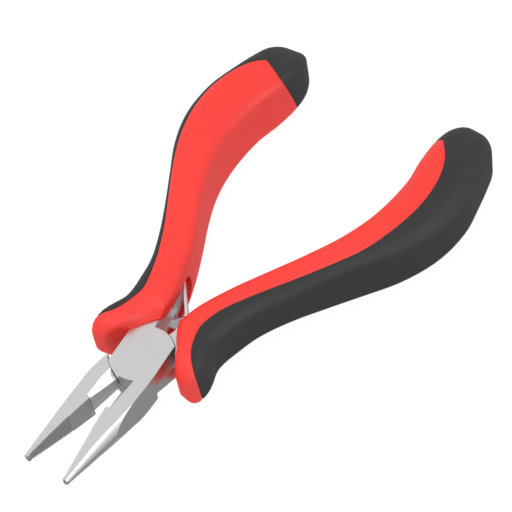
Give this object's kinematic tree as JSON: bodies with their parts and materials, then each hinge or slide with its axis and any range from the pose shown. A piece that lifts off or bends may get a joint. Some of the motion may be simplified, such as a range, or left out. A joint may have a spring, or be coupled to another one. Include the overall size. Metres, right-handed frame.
{
  "type": "long nose pliers",
  "caption": "Small half-round long nose pliers with serrated flat jaws, a side cutter, a lap joint, crossed spring leaves and curved two-colour grips.",
  "frame": {"origin": "the pivot axis where it leaves the joint's ground front face", "axes": "+Z out of the front face along the pivot axis, +Y towards the handle ends midway between the handles, -Y towards the jaw tips, +X to the right seen from the front"},
  "size_m": [0.073, 0.1223, 0.0162],
  "materials": {
    "forged_steel": "satin ground faces, bright nickel look",
    "rivet_steel": "ground flush",
    "spring_steel": "bright",
    "red_grip": "satin moulded",
    "black_grip": "matte soft-touch"
  },
  "bodies": {
    "front_half": {"front_lever": "forged_steel", "pivot_rivet": "rivet_steel", "left_spring_leaf": "spring_steel", "left_grip_core": "red_grip", "left_grip_overlay": "black_grip"},
    "rear_half": {"rear_lever": "forged_steel", "right_spring_leaf": "spring_steel", "right_grip_core": "red_grip", "right_grip_overlay": "black_grip"}
  },
  "joints": [
    {"name": "pivot", "type": "hinge", "parent": "front_half", "child": "rear_half", "pos_m": [0, 0, -0.0036], "axis": [0, 0, 1], "range_deg": [-3, 17.3], "stiffness_Nm_per_rad": 0.5, "deforming": ["left_spring_leaf", "right_spring_leaf"]}
  ]
}
